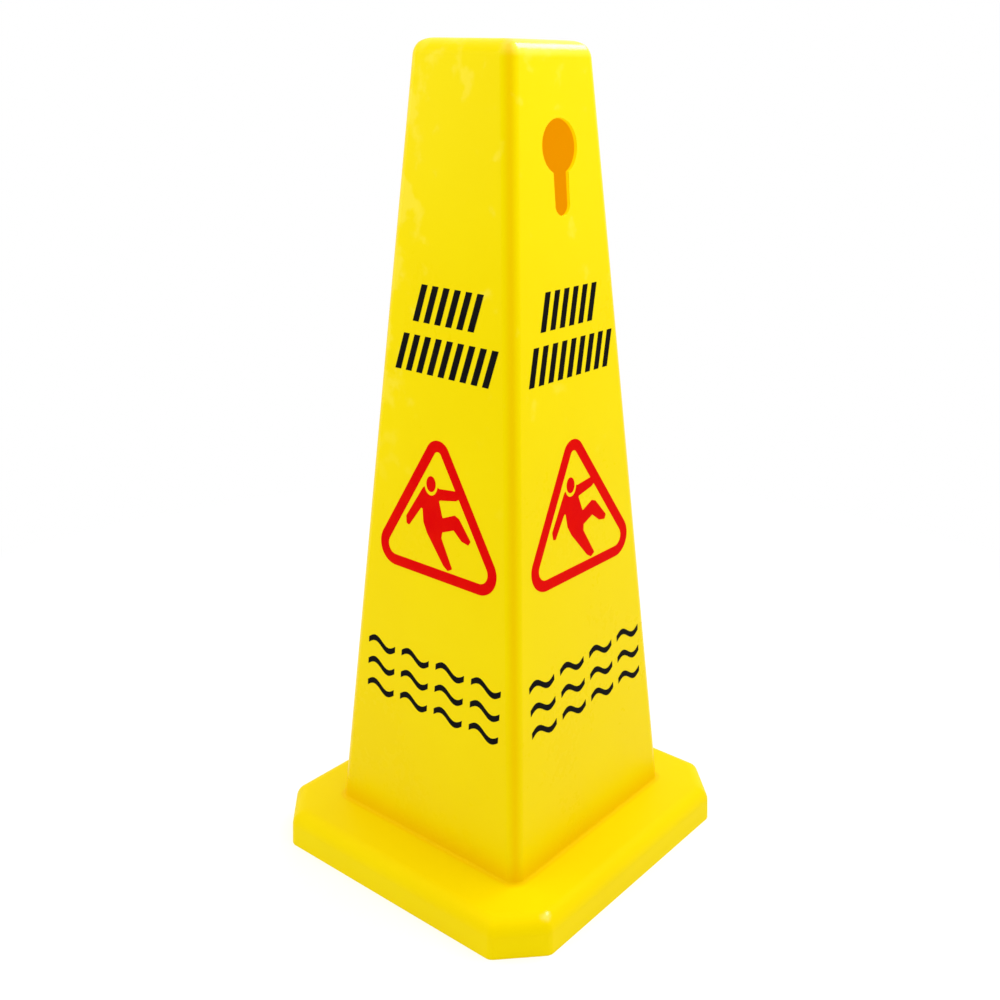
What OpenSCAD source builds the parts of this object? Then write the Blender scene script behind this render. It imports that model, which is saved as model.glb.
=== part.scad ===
// Four-sided floor warning pillar: one injection-moulded plastic shell, open
// underneath so that pillars stack, with a hanging keyhole near the top and
// a print of plain marks on each of its four faces.

/* [Base] */
// Width of the square base across its flats
base_w = 289; // [250:1:340]
// Length that each cut corner takes off a side of the base
base_cut = 33; // [24:1:45]
// Radius of the upright edges of the base
base_corner_r = 8; // [5:0.5:14]
// Radius of the edge between the skirt and the ledge
base_edge_r = 13; // [5:0.5:14]
// Height of the ledge where the pillar rises from it
ledge_h = 31.5; // [24:0.5:45]
// How much lower the ledge is at its outer edge
ledge_fall = 1.5; // [0.5:0.1:3]
// How far the skirt leans inwards from floor to ledge
skirt_lean = 1.5; // [0.5:0.1:3]

/* [Pillar] */
// Height of the whole object
total_h = 650; // [620:1:760]
// Width across the faces where they meet the ledge
foot_w = 199; // [187:1:210]
// Width across the faces where they meet the top
head_w = 95; // [85:1:115]
// Radius of the four upright corners
pillar_corner_r = 9; // [6:0.5:12]
// Radius of the edge round the top
head_edge_r = 12.5; // [5:0.5:14]
// Radius of the hollow fillet round the foot
foot_fillet_r = 2.5; // [1.5:0.5:9]
// Wall thickness of the moulding
wall = 2.4; // [1.8:0.1:3]

/* [Keyhole] */
// Height of the round part's centre, measured up the face from the ledge
key_up = 549; // [515:0.5:560]
// Radius of the round part
key_r = 19.5; // [12:0.5:24]
// Width of the slot below it
key_slot_w = 16.5; // [8:0.5:20]
// Distance from the round part's centre down to the slot's end centre
key_drop = 40; // [30:1:60]

/* [Stacking ribs] */
// Number of ribs under each side of the base
rib_count = 3; // [1:1:5]
// Distance between neighbouring ribs
rib_pitch = 72; // [30:1:75]
// Thickness of a rib
rib_t = 2; // [1.5:0.1:3]
// Gap between the foot of a stacked pillar and the ribs
stack_gap = 1.5; // [1:0.1:3]
// Height of the ribs' lower edge above the floor
rib_lift = 0.5; // [0.3:0.1:2]

/* [Print] */
// Thickness of the ink
ink_t = 0.15; // [0.1:0.05:0.4]
// How far the print sits to the right of the middle of a face
print_shift = 1.7; // [-4:0.1:4]
// Height up the face of the sign's lower edge
sign_up = 226; // [190:1:240]
// Width of the sign
sign_w = 121.5; // [100:0.5:125]
// Height of the sign
sign_h = 109; // [90:0.5:115]
// Outer radius of the sign's lower corners
sign_foot_r = 17; // [12:0.5:18]
// Outer radius of the sign's upper corner
sign_tip_r = 12.5; // [11:0.5:16]
// How far the upper corner sits to the left of the sign's middle
sign_tip_shift = 3.4; // [0:0.2:4]
// Width of the sign's red band
sign_band = 8.7; // [6:0.1:10]
// Height of the figure in the sign
figure_h = 70; // [60:0.5:71]
// Height of the figure's foot above the sign's lower edge
figure_up = 10.3; // [9:0.1:12]
// Height up the face of the lower row of slanted bars
lower_bars_up = 383; // [370:1:390]
// Height up the face of the upper row of slanted bars
upper_bars_up = 421; // [415:0.5:440]
// Height of both rows of bars
bar_h = 28; // [20:0.5:30]
// Width of one bar
bar_w = 6; // [4:0.5:8]
// Distance between neighbouring bars
bar_pitch = 11; // [9:0.2:11.2]
// Number of bars in the lower row
lower_bar_count = 9; // [5:1:9]
// Number of bars in the upper row
upper_bar_count = 6; // [3:1:7]
// How far a bar's top leans to the right of its foot
bar_lean = 8; // [0:0.5:12]
// Height up the face of the lowest wave
wave_up = 116; // [90:1:125]
// Distance between neighbouring waves, one above the other
wave_rise = 19; // [12:0.5:20]
// Number of waves in one block
wave_count = 3; // [1:1:4]
// Number of blocks of waves
block_count = 4; // [2:1:4]
// Distance between neighbouring blocks
block_pitch = 37.5; // [34:0.5:39]
// Length of one wave
wave_len = 30; // [20:0.5:32]
// Height of a wave's crest above its middle line
wave_crest = 3.6; // [1:0.1:5]
// Width of a wave's line
wave_line = 5; // [3:0.1:6]

/* [Hidden] */

// The sides, anticlockwise from above; the keyhole is in the front one
sides = ["front", "right", "back", "left"];
function turn_of(side) = 90 * search([side], sides)[0];

yellow = [0.98, 0.86, 0.04];
red = [0.9, 0.04, 0.03];
black = [0.06, 0.055, 0.05];

// Steps of each eighth of a turn in plan, and of each rounding of the profile
plan_steps = 5;
profile_steps = 6;
// The corners of the pillar end in a flat about as wide as one step of their arc
corner_flat = 1.2;
// Radius that the outer skin's corners keep where a wide rounding shrinks them
kept_r = 5;
// Smallest radius inside the shell
least_r = 0.6;
// Share of the edge radius that the ribs' outer ends are cut by, so as to end in the wall
rib_cut_share = 0.55;
// How far a cutting tool runs past what it cuts
over = 5;

base_half = base_w / 2;
foot_half = foot_w / 2;
head_half = head_w / 2;
lean = atan((foot_half - head_half) / (total_h - ledge_h));
skirt_angle = atan(skirt_lean / (ledge_h - ledge_fall));

// The moulding's profile as [half width, height, rounding], from the rim to the top
skin = [
    [base_half, 0, 0],
    [base_half - skirt_lean, ledge_h - ledge_fall, base_edge_r],
    [foot_half, ledge_h, foot_fillet_r],
    [head_half, total_h, head_edge_r],
    [0, total_h, 0]
];
ledge_i = 1;
foot_i = 2;
head_i = 3;

function unit(v) = v / norm(v);
function flat_of(p) = [p[0], p[1]];
function left_of(v) = [-v[1], v[0]];
function cross_2d(a, b) = a[0] * b[1] - a[1] * b[0];

// Where line p + s*u meets line q + t*v
function meeting(p, u, q, v) = p + u * (cross_2d(q - p, v) / cross_2d(u, v));

// The profile's corners moved inwards by d, square to each stretch
function inner_corner(i, d) =
    let (
        here = flat_of(skin[i]),
        before = i == 0 ? [0, 1] : unit(here - flat_of(skin[i - 1])),
        after = i == len(skin) - 1 ? [0, 1] : unit(flat_of(skin[i + 1]) - here)
    )
    i == 0 ? meeting(here + left_of(after) * d, after, here, [1, 0])
    : i == len(skin) - 1 ? here + left_of(before) * d
    : meeting(here + left_of(before) * d, before, here + left_of(after) * d, after);

// Convex edges lose the wall's thickness inside the shell, and the fillet gains it
function inner_radius(i, d) = i == foot_i ? skin[i][2] + d : max(skin[i][2] - d, least_r);

// Points of the rounding at corner i of the profile moved inwards by d
function rounding(i, d) =
    let (
        p = inner_corner(i, d),
        u = unit(inner_corner(i - 1, d) - p),
        v = unit(inner_corner(i + 1, d) - p),
        r = inner_radius(i, d),
        half_angle = acos(u * v) / 2,
        start = p + u * (r / tan(half_angle)),
        centre = p + unit(u + v) * (r / sin(half_angle)),
        turn = (cross_2d(start - centre, v) > 0 ? 1 : -1) * (180 - 2 * half_angle),
        arm = start - centre
    )
    [for (k = [0:profile_steps])
        let (a = turn * k / profile_steps)
        centre + [arm[0] * cos(a) - arm[1] * sin(a), arm[0] * sin(a) + arm[1] * cos(a)]];

// Half widths that the skirt and the pillar would have at height z with no rounding
function skirt_half(z) = base_half - z * tan(skirt_angle);
function pillar_half(z) = foot_half - (z - ledge_h) * tan(lean);

// Corner radius of a ring whose rounding moves it by shift, in the skin moved inwards by d
function ring_r(corner_r, shift, d) = max(least_r, kept_r - d, corner_r + shift);

// Flat part of a cut corner, whose face moves in as far as the sides do
function cut_flat(half, r) = sqrt(2) * (base_cut - (2 - sqrt(2)) * (r + base_half - half));

// A level ring round the shell: [half width, height, corner radius, corner flat]
function base_ring(p, d) =
    let (r = ring_r(base_corner_r, p[0] - skirt_half(p[1]), d))
    [p[0], p[1], r, cut_flat(p[0], r)];
function pillar_ring(p, d) =
    [p[0], p[1], ring_r(pillar_corner_r, p[0] - pillar_half(p[1]), d), corner_flat];

// All rings of the skin moved inwards by d, from the rim to the edge of the top
function rings(d) = concat(
    [base_ring(inner_corner(0, d), d)],
    [for (p = rounding(ledge_i, d)) base_ring(p, d)],
    [for (p = rounding(foot_i, d)) pillar_ring(p, d)],
    [for (p = rounding(head_i, d)) pillar_ring(p, d)]
);

// The points of a ring: a square whose corners are cut and rounded
function ring_points(ring) =
    let (
        r = ring[2],
        far = ring[0] - r,
        near = far - ring[3] / sqrt(2)
    )
    [for (corner = [0:3], half = [0, 1], k = [0:plan_steps])
        let (
            a = 45 * half + 45 * k / plan_steps,
            x = (half == 0 ? far : near) + r * cos(a),
            y = (half == 0 ? near : far) + r * sin(a),
            c = cos(90 * corner),
            s = sin(90 * corner)
        )
        [x * c - y * s, x * s + y * c, ring[1]]];

function reversed(list) = [for (i = [len(list) - 1:-1:0]) list[i]];

// A closed skin over a stack of rings, with a pole at each end
module loft(stack, first_pole, last_pole) {
    count = 8 * (plan_steps + 1);
    points = concat(
        [first_pole],
        [for (ring = stack) each ring_points(ring)],
        [last_pole]
    );
    last = len(points) - 1;
    function at(ring, k) = 1 + ring * count + (k % count);
    faces = concat(
        [for (k = [0:count - 1]) [0, at(0, k + 1), at(0, k)]],
        [for (i = [0:len(stack) - 2], k = [0:count - 1], half = [0, 1])
            half == 0
                ? [at(i, k), at(i + 1, k + 1), at(i + 1, k)]
                : [at(i, k), at(i, k + 1), at(i + 1, k + 1)]],
        [for (k = [0:count - 1]) [at(len(stack) - 1, k), at(len(stack) - 1, k + 1), last]]
    );
    polyhedron(points, faces, convexity = 6);
}

// The hollow shell in one skin: down the outside, round the rim and up the inside
module shell() {
    loft(
        concat(reversed(rings(0)), rings(wall)),
        [0, 0, total_h],
        [0, 0, total_h - wall]
    );
}

// Puts its children on a face: x to the right, y up the face from the ledge, z outwards
module on_face(side) {
    rotate([0, 0, turn_of(side)])
        translate([0, -foot_half, ledge_h])
            rotate([90 - lean, 0, 0])
                children();
}

// Outline of the keyhole, with the round part's centre at the origin
module keyhole_outline() {
    circle(r = key_r, $fn = 96);
    translate([-key_slot_w / 2, -key_drop])
        square([key_slot_w, key_drop]);
    translate([0, -key_drop])
        circle(d = key_slot_w, $fn = 64);
}

// Upright ribs between the skirt and the foot, which a stacked pillar's ledge meets
module ribs() {
    inner = foot_half + foot_fillet_r + stack_gap;
    outer = base_half - skirt_lean - wall / 2;
    top = ledge_h - ledge_fall - wall / 2;
    slope = ledge_fall / (base_half - foot_half);
    cut = rib_cut_share * base_edge_r;
    for (side = sides, i = [0:rib_count - 1])
        rotate([0, 0, turn_of(side)])
            translate([rib_pitch * (i - (rib_count - 1) / 2) + rib_t / 2, 0, 0])
                rotate([0, -90, 0])
                    linear_extrude(rib_t)
                        polygon([
                            [rib_lift, -outer],
                            [top - cut, -outer],
                            [top, cut - outer],
                            [top + slope * (outer - inner), -inner],
                            [rib_lift, -inner]
                        ]);
}

module pillar() {
    color(yellow)
        difference() {
            union() {
                shell();
                ribs();
            }
            on_face("front")
                translate([0, key_up, -wall - over])
                    linear_extrude(wall + 2 * over)
                        keyhole_outline();
        }
}

// Outline of the slipping figure's body on a grid of 100 for the figure's height, from
// the left shoulder by the left hand, the two feet and the right hand to the right shoulder
body = [
    [-24.6, 85], [-48.5, 47], [-47.5, 38.5], [-43.5, 37.5], [-24.5, 64],
    [-22, 46], [-16, 35], [10, 4], [17, -0.5], [23.5, 3],
    [5.7, 34], [6.5, 41], [23, 47.5], [35, 38], [45, 36],
    [48, 41], [30, 62], [23.5, 64.5], [6, 57], [-0.5, 75.5],
    [24, 80.5], [30, 84], [25.5, 91.5], [-0.7, 88.5], [-13, 93]
];
head_centre = [-13, 91.2];
head_half_h = 8.8;
head_narrowing = 0.78;
neck_gap = 4;
// Radius that rounds off the outline
body_round = 1.6;

module head_outline(gap) {
    translate(head_centre)
        scale([head_narrowing, 1])
            circle(r = head_half_h + gap, $fn = 40);
}

module figure_outline() {
    scale(figure_h / 100) {
        difference() {
            offset(r = -body_round, $fn = 24)
                offset(r = 2 * body_round, $fn = 24)
                    offset(r = -body_round, $fn = 24)
                        polygon(body);
            head_outline(neck_gap);
        }
        head_outline(0);
    }
}

// Triangle with round corners, moved inwards by d
module sign_triangle(d) {
    foot_x = sign_w / 2 - sign_foot_r;
    hull() {
        for (x = [-foot_x, foot_x])
            translate([x, sign_foot_r])
                circle(r = sign_foot_r - d, $fn = 64);
        translate([-sign_tip_shift, sign_h - sign_tip_r])
            circle(r = sign_tip_r - d, $fn = 64);
    }
}

module slip_sign(side) {
    color(red)
        on_face(side)
            translate([print_shift, sign_up])
                linear_extrude(ink_t) {
                    difference() {
                        sign_triangle(0);
                        sign_triangle(sign_band);
                    }
                    translate([0, figure_up])
                        figure_outline();
                }
}

module bar_row(count) {
    for (i = [0:count - 1])
        translate([bar_pitch * (i - (count - 1) / 2) - (bar_w + bar_lean) / 2, 0])
            polygon([[0, 0], [bar_w, 0], [bar_w + bar_lean, bar_h], [bar_lean, bar_h]]);
}

module bars(side) {
    color(black)
        on_face(side)
            translate([print_shift, 0])
                linear_extrude(ink_t) {
                    translate([0, lower_bars_up])
                        bar_row(lower_bar_count);
                    translate([0, upper_bars_up])
                        bar_row(upper_bar_count);
                }
}

// One line of water: a full swing of a sine with square ends
module wave() {
    steps = 16;
    function edge(shift) = [for (k = [0:steps])
        let (x = wave_len * (k / steps - 0.5))
        [x, wave_crest * sin(360 * k / steps) + shift]];
    polygon(concat(edge(-wave_line / 2), reversed(edge(wave_line / 2))));
}

module waves(side) {
    color(black)
        on_face(side)
            translate([print_shift, wave_up])
                linear_extrude(ink_t)
                    for (block = [0:block_count - 1], row = [0:wave_count - 1])
                        translate([block_pitch * (block - (block_count - 1) / 2), wave_rise * row])
                            wave();
}

pillar();
slip_sign("front");  // front_slip_sign
slip_sign("right");  // right_slip_sign
slip_sign("back");  // back_slip_sign
slip_sign("left");  // left_slip_sign
bars("front");  // front_bars
bars("right");  // right_bars
bars("back");  // back_bars
bars("left");  // left_bars
waves("front");  // front_waves
waves("right");  // right_waves
waves("back");  // back_waves
waves("left");  // left_waves
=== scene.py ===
import math

import bmesh
import bpy
from mathutils import Matrix, Vector


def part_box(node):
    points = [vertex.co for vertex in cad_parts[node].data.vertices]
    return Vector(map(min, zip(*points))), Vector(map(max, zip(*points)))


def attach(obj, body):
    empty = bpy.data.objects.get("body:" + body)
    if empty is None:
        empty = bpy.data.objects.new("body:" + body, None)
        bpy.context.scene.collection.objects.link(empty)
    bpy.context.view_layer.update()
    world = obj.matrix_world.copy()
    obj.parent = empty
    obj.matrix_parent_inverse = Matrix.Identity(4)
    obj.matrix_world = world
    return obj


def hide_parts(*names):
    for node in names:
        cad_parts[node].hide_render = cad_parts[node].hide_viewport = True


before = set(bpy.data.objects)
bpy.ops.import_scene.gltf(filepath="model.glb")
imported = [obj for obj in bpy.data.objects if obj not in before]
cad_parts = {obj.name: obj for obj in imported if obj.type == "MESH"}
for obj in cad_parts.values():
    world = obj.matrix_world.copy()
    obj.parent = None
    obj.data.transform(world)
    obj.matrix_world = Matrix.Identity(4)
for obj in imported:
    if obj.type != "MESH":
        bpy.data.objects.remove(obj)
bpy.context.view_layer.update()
print("frame loaded:", len(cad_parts), "nodes")


# Working in edit mode

def clearSelection():
    if bpy.context.mode != "OBJECT":
        bpy.ops.object.mode_set(mode="OBJECT")
    bpy.ops.object.select_all(action="DESELECT")


def makeActive(piece):
    clearSelection()
    bpy.context.view_layer.objects.active = piece
    piece.select_set(True)


def startEditing(piece):
    makeActive(piece)
    bpy.ops.object.mode_set(mode="EDIT")


def pick(piece, kind, test):  # selects the vertices, edges or faces that pass the test
    mesh = bmesh.from_edit_mesh(piece.data)
    bpy.ops.mesh.select_all(action="DESELECT")
    bpy.ops.mesh.select_mode(type=kind)
    items = {"VERT": mesh.verts, "EDGE": mesh.edges, "FACE": mesh.faces}[kind]
    for item in items:
        if test(item):
            item.select_set(True)
    mesh.select_flush_mode()
    bmesh.update_edit_mesh(piece.data)


def finishModifier(piece, kind, **settings):  # adds a modifier and applies it
    makeActive(piece)
    change = piece.modifiers.new(kind.title(), kind)
    for key, value in settings.items():
        setattr(change, key, value)
    bpy.ops.object.modifier_apply(modifier=change.name)


def joinShape(piece, other, operation):  # union or difference with another mesh, which is used up
    finishModifier(piece, "BOOLEAN", operation=operation, object=other, solver="EXACT")
    bpy.data.objects.remove(other)


def settle(piece):  # puts the object's place and turn into its mesh
    makeActive(piece)
    bpy.ops.object.transform_apply(location=True, rotation=True, scale=True)


def placeBlock(name, size, centre):  # a block to be shaped, with its place in its mesh
    clearSelection()
    bpy.ops.mesh.primitive_cube_add(size=1, location=centre)
    block = bpy.context.object
    block.name = name
    block.scale = size
    settle(block)
    return block


# The moulding, in metres

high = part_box("pillar")[1]
shell = {
    "baseHalf": high.x,
    "height": high.z,
    "cutCorner": 0.033,          # that each cut corner takes off a side of the base
    "baseCornerRadius": 0.008,
    "baseEdgeRadius": 0.013,     # between skirt and ledge
    "ledgeHeight": 0.0315,
    "ledgeFall": 0.0015,
    "skirtLean": 0.0015,
    "footHalf": 0.0995,
    "headHalf": 0.0475,
    "cornerRadius": 0.009,       # of the pillar's four upright corners
    "cornerFlat": 0.0012,
    "keptRadius": 0.005,         # that corners keep where a wide rounding shrinks them
    "leastRadius": 0.0006,
    "headEdgeRadius": 0.0125,
    "footFillet": 0.0025,
    "wall": 0.0024,
    "rimRound": 0.0004,
    "rimSteps": 2,
    "rimAngle": 60,              # least turn, in degrees, at an edge of the rim
    "arcSteps": 7,
    "profileSteps": 8,
    "nearly": 1e-6,              # heights this close count as the same
    "smoothAngle": 35,           # edges that turn by more degrees stay sharp in the shading
    "normalWeight": 50,
}
tan22 = math.tan(math.radians(22.5))
rise = shell["height"] - shell["ledgeHeight"]
lean = math.atan((shell["footHalf"] - shell["headHalf"]) / rise)


def cross(a, b):
    return a.x * b.y - a.y * b.x


def moveInward(points, depth):  # the profile's corners, moved into the wall square to each stretch
    lines = []
    for start, end in zip(points, points[1:]):
        along = (end - start).normalized()
        lines.append((start + Vector((-along.y, along.x)) * depth, along))
    lines.insert(0, (points[0], Vector((1, 0))))
    corners = []
    for (p, u), (q, v) in zip(lines, lines[1:]):
        corners.append(p + u * (cross(q - p, v) / cross(u, v)))
    return corners + [points[-1] - Vector((0, depth))]


def roundCorner(before, corner, after, radius, steps):  # arc in the profile, touching both stretches
    toStart = (before - corner).normalized()
    toEnd = (after - corner).normalized()
    halfAngle = toStart.angle(toEnd) / 2
    reach = radius / math.tan(halfAngle)
    centre = corner + (toStart + toEnd).normalized() * (radius / math.sin(halfAngle))
    arm = corner + toStart * reach - centre
    end = corner + toEnd * reach - centre
    turn = math.atan2(cross(arm, end), arm.dot(end))
    return [centre + Matrix.Rotation(turn * k / steps, 2) @ arm for k in range(steps + 1)]


def ringsOfSkin(depth):  # [half width, height, corner radius, cut] from rim to top, depth inside the skin
    s = shell
    points = [Vector((s["baseHalf"], 0)),
              Vector((s["baseHalf"] - s["skirtLean"], s["ledgeHeight"] - s["ledgeFall"])),
              Vector((s["footHalf"], s["ledgeHeight"])),
              Vector((s["headHalf"], s["height"])),
              Vector((0, s["height"]))]
    skirtSlope = s["skirtLean"] / points[1].y
    rim, edge, foot, head, middle = moveInward(points, depth)
    steps = s["profileSteps"]
    radii = [max(s["baseEdgeRadius"] - depth, s["leastRadius"]), s["footFillet"] + depth,
             max(s["headEdgeRadius"] - depth, s["leastRadius"])]
    least = max(s["keptRadius"] - depth, s["leastRadius"])
    rings = []
    for p in [rim] + roundCorner(rim, edge, foot, radii[0], steps):
        shift = p.x - (s["baseHalf"] - p.y * skirtSlope)
        radius = max(least, s["baseCornerRadius"] + shift)
        cut = s["cutCorner"] - (2 - math.sqrt(2)) * (s["baseHalf"] - p.x)
        rings.append((p.x, p.y, radius, cut))
    for p in (roundCorner(edge, foot, head, radii[1], steps)
              + roundCorner(foot, head, middle, radii[2], steps)):
        shift = p.x - (s["footHalf"] - (p.y - s["ledgeHeight"]) * math.tan(lean))
        radius = max(least, s["cornerRadius"] + shift)
        rings.append((p.x, p.y, radius, s["cornerFlat"] / math.sqrt(2) + math.sqrt(2) * tan22 * radius))
    return rings


def atHeight(z):
    return lambda item: all(abs(v.co.z - z) < shell["nearly"] for v in getattr(item, "verts", [item]))


def addRing(piece, half, height, radius, cut):  # a square outline whose corners are cut and rounded
    bpy.ops.mesh.primitive_plane_add(size=2 * half, location=(0, 0, height))
    pick(piece, "VERT", atHeight(height))
    bpy.ops.mesh.bevel(offset_type="ABSOLUTE", offset=cut, segments=1, affect="VERTICES")
    pick(piece, "VERT", atHeight(height))
    bpy.ops.mesh.bevel(offset_type="ABSOLUTE", offset=radius * tan22, segments=shell["arcSteps"],
                       affect="VERTICES")
    pick(piece, "FACE", atHeight(height))
    bpy.ops.mesh.delete(type="ONLY_FACE")


def makeSkin(name, depth):  # one skin of the moulding, open at the rim
    rings = ringsOfSkin(depth)
    clearSelection()
    bpy.ops.mesh.primitive_plane_add()
    skin = bpy.context.object
    skin.name = name
    startEditing(skin)
    bpy.ops.mesh.delete(type="VERT")
    for ring in rings:
        addRing(skin, *ring)
    heights = [ring[1] for ring in rings]
    for lower, upper in zip(heights, heights[1:]):
        pick(skin, "EDGE", lambda e: atHeight(lower)(e) or atHeight(upper)(e))
        bpy.ops.mesh.bridge_edge_loops()
    pick(skin, "EDGE", atHeight(heights[-1]))
    bpy.ops.mesh.edge_face_add()
    bpy.ops.mesh.select_all(action="SELECT")
    bpy.ops.mesh.normals_make_consistent(inside=depth > 0)
    clearSelection()
    return skin


def makeShell(materials):  # the outer skin in the first material and the inner one in the second
    outer = makeSkin("MouldedPillar", 0)
    inner = makeSkin("Hollow", shell["wall"])
    for number, skin in enumerate([outer, inner]):
        for material in materials:
            skin.data.materials.append(material)
        for face in skin.data.polygons:
            face.material_index = number
    makeActive(outer)
    inner.select_set(True)
    bpy.ops.object.join()
    startEditing(outer)
    pick(outer, "EDGE", lambda e: e.is_boundary)
    bpy.ops.mesh.bridge_edge_loops()
    pick(outer, "EDGE", lambda e: atHeight(0)(e) and e.calc_face_angle(0) > math.radians(shell["rimAngle"]))
    bpy.ops.mesh.bevel(offset=shell["rimRound"], segments=shell["rimSteps"], affect="EDGES")
    clearSelection()
    return outer


# The stacking ribs under the base

ribs = {
    "perSide": 3,
    "pitch": 0.072,
    "thickness": 0.002,
    "stackGap": 0.0015,   # between a stacked pillar's foot and the ribs
    "lift": 0.0005,       # above the floor
    "edgeRound": 0.0004,
    "edgeSteps": 2,
    "cutShare": 0.55,     # of the base's edge radius, so that the outer ends stop in the wall
}


def makeRibs(skin):
    inner = shell["footHalf"] + shell["footFillet"] + ribs["stackGap"]
    outer = shell["baseHalf"] - shell["skirtLean"] - shell["wall"] / 2
    top = shell["ledgeHeight"] - shell["ledgeFall"] - shell["wall"] / 2
    slope = shell["ledgeFall"] / (shell["baseHalf"] - shell["footHalf"])
    size = (ribs["thickness"], outer - inner, top - ribs["lift"])
    halfway = (inner + outer) / 2
    rib = placeBlock("Rib", size, (0, -halfway, (top + ribs["lift"]) / 2))
    startEditing(rib)
    # The rib's upper edge follows the ledge, and its outer end clears the rounding above the skirt
    pick(rib, "VERT", lambda v: v.co.z > top / 2 and v.co.y > -halfway)
    bpy.ops.transform.translate(value=(0, 0, slope * (outer - inner)))
    pick(rib, "EDGE", lambda e: all(v.co.z > top / 2 and v.co.y < -halfway for v in e.verts))
    bpy.ops.mesh.bevel(offset=ribs["cutShare"] * shell["baseEdgeRadius"], segments=1, affect="EDGES")
    pick(rib, "EDGE", lambda e: all(v.co.z < top / 2 for v in e.verts)
         or all(v.co.y > -halfway for v in e.verts))
    bpy.ops.mesh.bevel(offset=ribs["edgeRound"], segments=ribs["edgeSteps"], affect="EDGES")
    clearSelection()
    copies = []
    for turn in range(4):
        for number in range(ribs["perSide"]):
            copy = rib.copy()
            copy.data = rib.data.copy()
            bpy.context.collection.objects.link(copy)
            along = ribs["pitch"] * (number - (ribs["perSide"] - 1) / 2)
            turned = Matrix.Rotation(turn * math.pi / 2, 4, "Z")
            copy.matrix_world = turned @ Matrix.Translation((along, 0, 0))
            copies.append(copy)
    bpy.data.objects.remove(rib)
    makeActive(copies[0])
    for copy in copies:
        copy.select_set(True)
    bpy.ops.object.transform_apply(location=True, rotation=True, scale=True)
    bpy.ops.object.join()
    allRibs = bpy.context.object
    for material in skin.data.materials:
        allRibs.data.materials.append(material)
    for face in allRibs.data.polygons:
        face.material_index = 1
    joinShape(skin, allRibs, "UNION")


# The hanging keyhole

keyhole = {
    "up": 0.549,          # the round part's centre, up the face from the ledge
    "radius": 0.0195,
    "slotWidth": 0.0165,
    "drop": 0.040,        # from the round part's centre to the slot's end centre
    "edgeRound": 0.0005,
    "edgeSteps": 3,
    "edgeAngle": 45,      # least turn, in degrees, at an edge of the opening
    "facets": 128,        # round the round part, with half as many round the slot's end
    "reach": 0.010,       # of the cutters, to each side of the face
    "margin": 1.05,       # round the opening, in which its edges are looked for
    "nearly": 1e-4,       # this far off the face counts as on it
}
onFront = (Matrix.Translation((0, -shell["footHalf"], shell["ledgeHeight"]))
           @ Matrix.Rotation(math.radians(90) - lean, 4, "X"))


def cutKeyhole(skin):
    up, drop, reach = keyhole["up"], keyhole["drop"], keyhole["reach"]
    cutters = []
    facets = keyhole["facets"]
    rounds = [(keyhole["radius"], facets, up), (keyhole["slotWidth"] / 2, facets // 2, up - drop)]
    for radius, vertices, place in rounds:
        clearSelection()
        bpy.ops.mesh.primitive_cylinder_add(vertices=vertices, radius=radius, depth=2 * reach,
                                            location=(0, place, 0))
        cutters.append(bpy.context.object)
    cutters.append(placeBlock("Slot", (keyhole["slotWidth"], drop, 2 * reach), (0, up - drop / 2, 0)))
    for cutter in cutters:
        settle(cutter)
        for material in skin.data.materials:
            cutter.data.materials.append(material)
        for face in cutter.data.polygons:
            face.material_index = 2
        cutter.data.transform(onFront)
        joinShape(skin, cutter, "DIFFERENCE")
    toFace = onFront.inverted()
    reachOut = keyhole["radius"] * keyhole["margin"]

    def onEdge(e):
        spots = [toFace @ v.co for v in e.verts]
        close = all(abs(p.z) < keyhole["nearly"] and abs(p.x) < reachOut
                    and up - drop - keyhole["slotWidth"] < p.y < up + reachOut for p in spots)
        return close and e.calc_face_angle(0) > math.radians(keyhole["edgeAngle"])
    startEditing(skin)
    pick(skin, "EDGE", onEdge)
    bpy.ops.mesh.bevel(offset=keyhole["edgeRound"], segments=keyhole["edgeSteps"], affect="EDGES", material=0)
    clearSelection()


# Shader maths and materials

class Value:  # a socket that takes part in sums, each of which adds a Math node
    def __init__(self, finish, socket):
        self.finish = finish
        self.socket = socket

    def __add__(self, other):
        return self.finish.math("ADD", self, other)

    def __sub__(self, other):
        return self.finish.math("SUBTRACT", self, other)

    def __rsub__(self, other):
        return self.finish.math("SUBTRACT", other, self)

    def __mul__(self, other):
        return self.finish.math("MULTIPLY", self, other)

    __radd__ = __add__
    __rmul__ = __mul__


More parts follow.
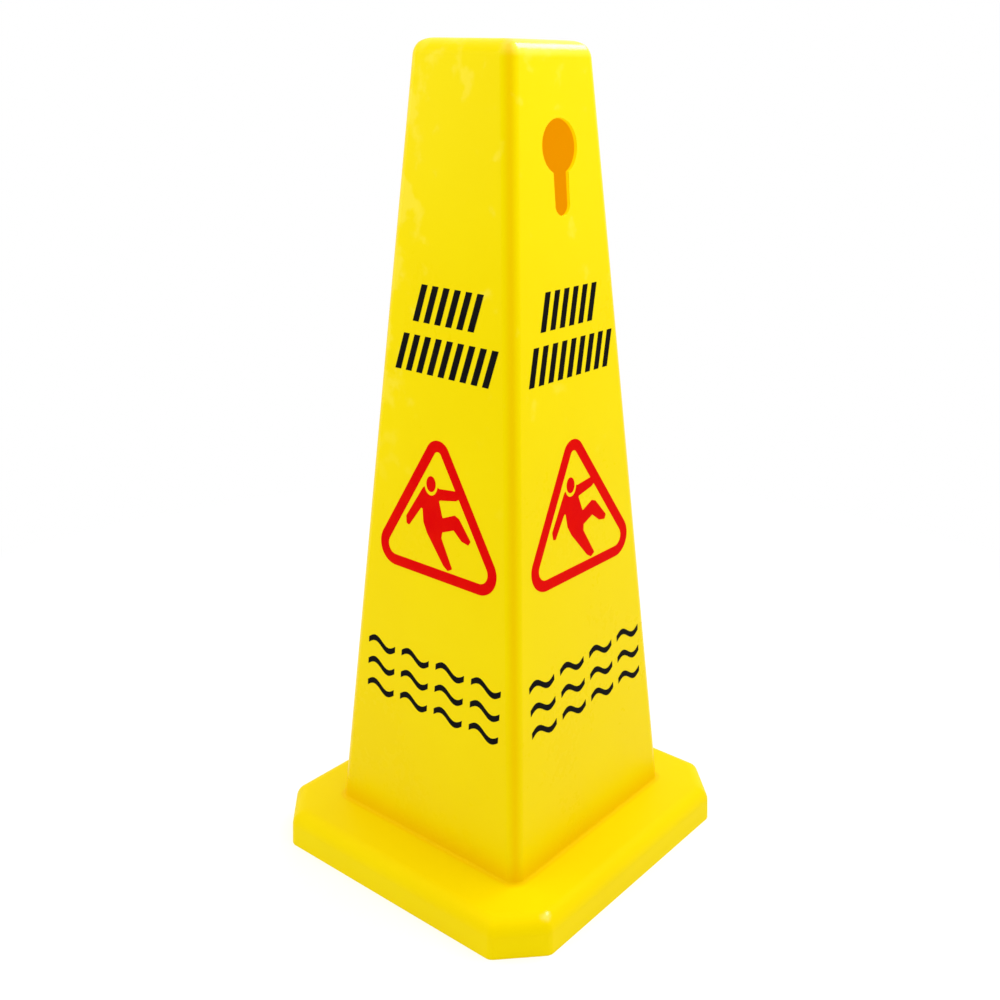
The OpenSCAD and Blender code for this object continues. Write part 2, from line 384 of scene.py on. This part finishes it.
class Finish:  # a material, or the world, and the nodes that are added to it
    def __init__(self, owner):
        owner.use_nodes = True
        self.owner = owner
        self.tree = owner.node_tree
        self.tree.nodes.clear()

    def node(self, kind, settings, inputs, output=0):
        made = self.tree.nodes.new("ShaderNode" + kind)
        for key, value in settings.items():
            setattr(made, key, value)
        for key, value in inputs.items():
            if isinstance(value, Value):
                self.tree.links.new(value.socket, made.inputs[key])
            else:
                made.inputs[key].default_value = value
        return Value(self, made.outputs[output])

    def math(self, operation, first, second=0.0, clamp=False):
        return self.node("Math", {"operation": operation, "use_clamp": clamp}, {0: first, 1: second})

    def noise(self, where, scale, detail):
        return self.node("TexNoise", {}, {"Vector": where, "Scale": scale, "Detail": detail})

    def axis(self, where, name):  # one coordinate
        return self.node("SeparateXYZ", {}, {0: where}, output=name)

    def spread(self, value, fromLow, fromHigh, toLow, toHigh, kind="LINEAR"):  # from one range to another
        return self.node("MapRange", {"clamp": True, "interpolation_type": kind},
                         {"Value": value, "From Min": fromLow, "From Max": fromHigh,
                          "To Min": toLow, "To Max": toHigh})

    def blendColours(self, share, first, second):  # sockets 6, 7 and 2 are the node's colours
        inputs = {0: share, 6: first, 7: second}
        return self.node("Mix", {"data_type": "RGBA"}, inputs, output=2)

    def surface(self, shader):
        target = "OutputWorld" if isinstance(self.owner, bpy.types.World) else "OutputMaterial"
        end = self.tree.nodes.new("ShaderNode" + target)
        self.tree.links.new(shader.socket, end.inputs["Surface"])


# Each glow, and the deeper orange of the inside and cut-edge colours, is painted light that stands in for
# light that comes through the wall

plastic = {
    "outside": {"deep": (0.89, 0.665, 0.0, 1), "pale": (0.93, 0.75, 0.0, 1), "glow": (0, 0, 0, 1)},
    "inside": {"deep": (0.80, 0.40, 0.0, 1), "pale": (0.80, 0.42, 0.0, 1), "glow": (0.24, 0.17, 0.0, 1)},
    "cutEdge": {"deep": (0.90, 0.60, 0.0, 1), "pale": (0.90, 0.64, 0.0, 1), "glow": (0.32, 0.23, 0.0, 1)},
    "cornerShadeYellow": (0.89, 0.54, 0.0, 1),   # painted shade along the pillar's upright corners
    "cornerWidth": 0.0080,       # of the painted shade beside an upright corner
    "cornerShare": 0.6,
    # painted shade in the crease where the pillar meets the ledge
    "creaseShadeYellow": (0.87, 0.46, 0.0, 1),
    "creaseRise": 0.024,         # of the painted shade in the crease round the foot, up the pillar
    "creaseReach": 0.005,        # and out on the ledge
    "creaseShare": 0.47,
    "shine": 0.1,
    "shineTint": (1.0, 0.85, 0.05, 1),
    "roughness": (0.26, 0.32),
    "speckDull": 0.3,            # share of the specks in the roughness
    "baseDull": 0.25,            # added to the roughness on the base
    "polish": 0.6,               # extra gloss along the head's front edge
    "polishDepth": 0.012,        # how far it reaches back from the front edge
    "polishRoughness": 0.20,
    "spot": (-0.1075, -0.1355, 0.0285),    # centre of one glossy spot on the base's edge
    "spotSize": (0.002, 0.006),            # distances from it between which its gloss fades out
    "sheenColour": (0.97, 0.80, 0.07, 1),      # painted pale sheen patches near the head and the far left corner
    "sheenShare": 0.4,
    "sheenScale": 55,
    "sheenCorner": 0.045,        # how far from the corner they reach
    "sheenFarLeft": (1, 1.5),    # how far round they start and are full, in half widths of the head
    "sheenHead": 0.07,           # how far down from the top
    "sheenHeadShare": 0.45,
    "sheenClear": (0.006, 0.02), # stretch beside a corner where those from the top fade out
    "sheenFoot": (0.30, 0.42),   # heights between which they fade out
    "sheenGain": 0.25,
    "sheenRange": (0.63, 0.77),
    "cloudScale": 9,
    "speckScale": 160,
    "speckShare": 0.08,
    "riseShare": 0.7,            # of the change from deep to pale that comes with height up the pillar
    "skirtShare": 0.35,          # and that the skirt has
    "skirtFade": (-0.02, -0.006),          # heights from the ledge between which it fades out
    "noiseRange": (0.35, 0.65),
    "grainScale": 1400,
    "grainHeight": 0.00002,
    "rippleScale": 45,
    "rippleHeight": 0.00012,
}


def addPaintedShade(finish, where, colour):  # painted shade, deeper along the pillar's upright corners and in the crease round its foot
    s = shell
    x = finish.math("ABSOLUTE", finish.axis(where, "X"))
    y = finish.math("ABSOLUTE", finish.axis(where, "Y"))
    up = finish.axis(where, "Z") - s["ledgeHeight"]
    wide = finish.math("MAXIMUM", x, y)
    beyondX = finish.math("MAXIMUM", x - (s["footHalf"] - s["cornerRadius"]), 0)
    beyondY = finish.math("MAXIMUM", y - (s["footHalf"] - s["cornerRadius"]), 0)
    fromFoot = finish.math("SQRT", beyondX * beyondX + beyondY * beyondY) - s["cornerRadius"]
    outward = wide - (s["footHalf"] - up * math.tan(lean))
    onSide = finish.spread(outward, -s["headEdgeRadius"], -s["headEdgeRadius"] / 2, 0, 1)
    onPillar = finish.spread(up, 0, s["footFillet"], 0, 1) * onSide
    fromCorner = finish.math("ABSOLUTE", x - y)
    corner = finish.spread(fromCorner, 0, plastic["cornerWidth"], plastic["cornerShare"], 0, "SMOOTHSTEP")
    onLedge = fromFoot * (plastic["creaseRise"] / plastic["creaseReach"])
    fromCrease = finish.math("MAXIMUM", up, onLedge)
    crease = finish.spread(fromCrease, 0, plastic["creaseRise"], plastic["creaseShare"], 0, "SMOOTHSTEP")
    colour = finish.blendColours(corner * onPillar, colour, plastic["cornerShadeYellow"])
    return finish.blendColours(crease, colour, plastic["creaseShadeYellow"])


def paintedSheen(finish, where):  # share of painted pale sheen patches
    x, y = finish.axis(where, "X"), finish.axis(where, "Y")
    apart = finish.math("ABSOLUTE", finish.math("ABSOLUTE", x) - finish.math("ABSOLUTE", y))
    farLeft = finish.spread((y - x) * (1 / shell["headHalf"]), *plastic["sheenFarLeft"], 0, 1)
    beside = finish.spread(apart, 0, plastic["sheenCorner"], 1, 0) * farLeft
    up = finish.axis(where, "Z")
    above = finish.spread(up, shell["height"] - plastic["sheenHead"], shell["height"],
                          0, plastic["sheenHeadShare"])
    above = above * finish.spread(apart, *plastic["sheenClear"], 0, 1)
    patches = finish.noise(where, plastic["sheenScale"], detail=3)
    reach = finish.math("MAXIMUM", beside, above) * plastic["sheenGain"]
    share = finish.spread(patches + reach, *plastic["sheenRange"], 0, plastic["sheenShare"], "SMOOTHSTEP")
    return share * finish.spread(up, *plastic["sheenFoot"], 0, 1)


def polish(finish, where):  # share of extra gloss
    s = shell
    up = finish.spread(finish.axis(where, "Z"), s["height"] - s["headEdgeRadius"],
                       s["height"] - s["headEdgeRadius"] / 2, 0, 1, "SMOOTHSTEP")
    front = finish.spread(finish.axis(where, "Y"), plastic["polishDepth"] - s["headHalf"],
                          plastic["polishDepth"] / 2 - s["headHalf"], 0, plastic["polish"], "SMOOTHSTEP")
    inputs = {0: where, 1: plastic["spot"]}
    away = finish.node("VectorMath", {"operation": "DISTANCE"}, inputs, output="Value")
    spot = finish.spread(away, *plastic["spotSize"], 1, 0, "SMOOTHSTEP")
    return finish.math("MAXIMUM", up * front, spot)


def makePlastic(name, kind):
    colours = plastic[kind]
    finish = Finish(bpy.data.materials.new(name))
    where = finish.node("TexCoord", {}, {}, output="Object")
    clouds = finish.noise(where, plastic["cloudScale"], detail=3)
    specks = finish.noise(where, plastic["speckScale"], detail=2)
    ripple = finish.noise(where, plastic["rippleScale"], detail=2)
    grain = finish.noise(where, plastic["grainScale"], detail=1)
    mixed = clouds * (1 - plastic["speckShare"]) + specks * plastic["speckShare"]
    mottle = finish.spread(mixed, *plastic["noiseRange"], 0, 1 - plastic["riseShare"])
    up = finish.axis(where, "Z") - shell["ledgeHeight"]
    onRise = finish.spread(up, 0, rise, 0, plastic["riseShare"])
    onSkirt = finish.spread(up, *plastic["skirtFade"], plastic["skirtShare"], 0)
    colour = finish.blendColours(mottle + onRise + onSkirt, colours["deep"], colours["pale"])
    gloss = 0.0
    if kind == "outside":
        # painted pale sheen patches, standing in for reflections
        colour = finish.blendColours(paintedSheen(finish, where), colour, plastic["sheenColour"])
        # painted shade along the upright corners and in the crease round the foot
        colour = addPaintedShade(finish, where, colour)
        gloss = polish(finish, where)
    dulled = clouds * (1 - plastic["speckDull"]) + specks * plastic["speckDull"]
    rough = finish.spread(dulled, *plastic["noiseRange"], *plastic["roughness"])
    rough = rough + finish.spread(up, 0, 2 * shell["footFillet"], plastic["baseDull"], 0)
    bump = finish.node("Bump", {}, {"Strength": 1.0, "Distance": plastic["rippleHeight"], "Height": ripple})
    fine = finish.node("Bump", {}, {"Strength": 1.0, "Distance": plastic["grainHeight"], "Height": grain,
                                    "Normal": bump})
    shader = finish.node("BsdfPrincipled", {}, {
        "Base Color": colour, "Roughness": rough, "Normal": fine,
        "Specular IOR Level": plastic["shine"], "Specular Tint": plastic["shineTint"],
        "Coat Weight": gloss, "Coat Roughness": plastic["polishRoughness"],
        "Emission Color": colours["glow"], "Emission Strength": 1.0})
    finish.surface(shader)
    return finish.owner


inks = {
    "red": {"colour": (0.72, 0.0, 0.0, 1), "thin": (0.76, 0.004, 0.0, 1), "roughness": (0.45, 0.6)},
    "black": {"colour": (0.003, 0.003, 0.004, 1), "thin": (0.008, 0.007, 0.006, 1), "roughness": (0.45, 0.6)},
    "shine": 0.02,
    "cloudScale": 60,
    "weaveScale": 900,           # the screen's fine weave leaves a faint grain
    "weaveShare": 0.4,
    "weaveHeight": 0.00001,
    "noiseRange": (0.40, 0.65),
}


def makeInk(name, ink):
    finish = Finish(bpy.data.materials.new(name))
    where = finish.node("TexCoord", {}, {}, output="Object")
    clouds = finish.noise(where, inks["cloudScale"], detail=3)
    weave = finish.noise(where, inks["weaveScale"], detail=1)
    mixed = clouds * (1 - inks["weaveShare"]) + weave * inks["weaveShare"]
    share = finish.spread(mixed, *inks["noiseRange"], 0, 1)
    colour = finish.blendColours(share, ink["colour"], ink["thin"])
    rough = finish.spread(clouds, *inks["noiseRange"], *ink["roughness"])
    bump = finish.node("Bump", {}, {"Strength": 1.0, "Distance": inks["weaveHeight"], "Height": weave})
    shader = finish.node("BsdfPrincipled", {}, {"Base Color": colour, "Roughness": rough, "Normal": bump,
                                                "Specular IOR Level": inks["shine"]})
    finish.surface(shader)
    return finish.owner


# Make the pillar

plasticKinds = {"outside": "YellowPlastic", "inside": "YellowPlasticInside", "cutEdge": "YellowPlasticCut"}
plastics = [makePlastic(name, kind) for kind, name in plasticKinds.items()]
print("plastic mixed")

pillar = makeShell(plastics)
makeRibs(pillar)
print("shell and ribs moulded:", len(pillar.data.polygons), "faces")
cutKeyhole(pillar)
makeActive(pillar)
bpy.ops.object.shade_smooth_by_angle(angle=math.radians(shell["smoothAngle"]))
finishModifier(pillar, "WEIGHTED_NORMAL", keep_sharp=True, weight=shell["normalWeight"])
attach(pillar, "root")
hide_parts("pillar")
print("keyhole cut")

# The print stays as it is in the frame, with its inks

redInk = makeInk("RedInk", inks["red"])
blackInk = makeInk("BlackInk", inks["black"])
for name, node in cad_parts.items():
    if name != "pillar":
        for place in node.material_slots:
            place.material = redInk if "sign" in name else blackInk
print("print inked")

# Camera

view = {
    "place": (-0.6892, -0.5994, 0.6386),
    "azimuth": -52.94,
    "pitch": 18.856,
    "roll": 1.251,
    "focal": 43.253,
    "shift": (-0.08155, -0.03207),
    "sensor": 36,
    "nearest": 0.01,         # what is closer isn't seen
}
lens = bpy.data.cameras.new("Camera")
lens.lens = view["focal"]
lens.sensor_width = view["sensor"]
lens.shift_x, lens.shift_y = view["shift"]
lens.clip_start = view["nearest"]
camera = bpy.data.objects.new("Camera", lens)
bpy.context.collection.objects.link(camera)
camera.matrix_world = (Matrix.Translation(view["place"])
                       @ Matrix.Rotation(math.radians(view["azimuth"]), 4, "Z")
                       @ Matrix.Rotation(math.radians(90 - view["pitch"]), 4, "X")
                       @ Matrix.Rotation(math.radians(view["roll"]), 4, "Z"))
bpy.context.scene.camera = camera

# Lamps, each at an angle round the object and aimed at its middle

lamps = {
    "LeftFill": {"azimuth": -135, "rise": 28, "distance": 1.0, "size": (1.0, 0.5), "power": 2.5},
    "TopSoftbox": {"azimuth": -50, "rise": 85, "distance": 1.5, "size": (1.4, 1.4), "power": 3.3},
    "RightSoftbox": {"azimuth": 25, "rise": 50, "distance": 1.0, "size": (0.9, 0.9), "power": 3.2},
    "KeySoftbox": {"azimuth": 80, "rise": 49, "distance": 1.44, "size": (0.50, 0.30), "power": 4.5},
}
middle = Vector((0, 0, 0.3))
for name, lamp in lamps.items():
    a, e = math.radians(lamp["azimuth"]), math.radians(lamp["rise"])
    back = Vector((math.sin(a) * math.cos(e), -math.cos(a) * math.cos(e), math.sin(e)))
    light = bpy.data.lights.new(name, "AREA")
    light.shape = "RECTANGLE"
    light.size, light.size_y = lamp["size"]
    light.energy = lamp["power"]
    box = bpy.data.objects.new(name, light)
    bpy.context.collection.objects.link(box)
    box.location = middle + back * lamp["distance"]
    box.rotation_euler = (-back).to_track_quat("-Z", "Y").to_euler()

# Floor and world

studio = {
    "floorSize": 12,
    "floorColour": (0.9, 0.9, 0.9, 1),
    "floorSeen": (0.5, 0.5, 0.5, 1),
    "floorLift": 0.56,       # light added to the floor where the camera sees it
    "fadeFrom": 0.35,        # from here out to fadeTo the floor turns plain white
    "fadeTo": 0.9,
    "ambient": 0.78,
}
clearSelection()
bpy.ops.mesh.primitive_plane_add(size=studio["floorSize"], location=(0, 0, 0))
floor = bpy.context.object
floor.name = "StudioFloor"
finish = Finish(bpy.data.materials.new("StudioFloor"))
seen = finish.node("LightPath", {}, {}, output="Is Camera Ray")
plain = finish.node("BsdfDiffuse", {}, {"Color": studio["floorColour"]})
dim = finish.node("BsdfDiffuse", {}, {"Color": studio["floorSeen"]})
lift = finish.node("Emission", {}, {"Strength": studio["floorLift"]})
near = finish.node("AddShader", {}, {0: dim, 1: lift})
where = finish.node("TexCoord", {}, {}, output="Object")
distance = finish.node("VectorMath", {"operation": "LENGTH"}, {0: where}, output="Value")
away = finish.spread(distance, studio["fadeFrom"], studio["fadeTo"], 0, 1)
white = finish.node("Emission", {}, {"Strength": 1.0})
bright = finish.node("MixShader", {}, {0: away, 1: near, 2: white})
finish.surface(finish.node("MixShader", {}, {0: seen, 1: plain, 2: bright}))
floor.data.materials.append(finish.owner)

world = bpy.data.worlds.new("Studio")
bpy.context.scene.world = world
finish = Finish(world)
camRay = finish.node("LightPath", {}, {}, output="Is Camera Ray")
glossRay = finish.node("LightPath", {}, {}, output="Is Glossy Ray")
clearRay = finish.node("LightPath", {}, {}, output="Is Transmission Ray")
whole = finish.math("ADD", camRay + glossRay, clearRay, clamp=True)
strength = studio["ambient"] + whole * (1 - studio["ambient"])
finish.surface(finish.node("Background", {}, {"Color": (1, 1, 1, 1), "Strength": strength}))
bpy.context.scene.view_settings.view_transform = "Standard"
print("studio lit")
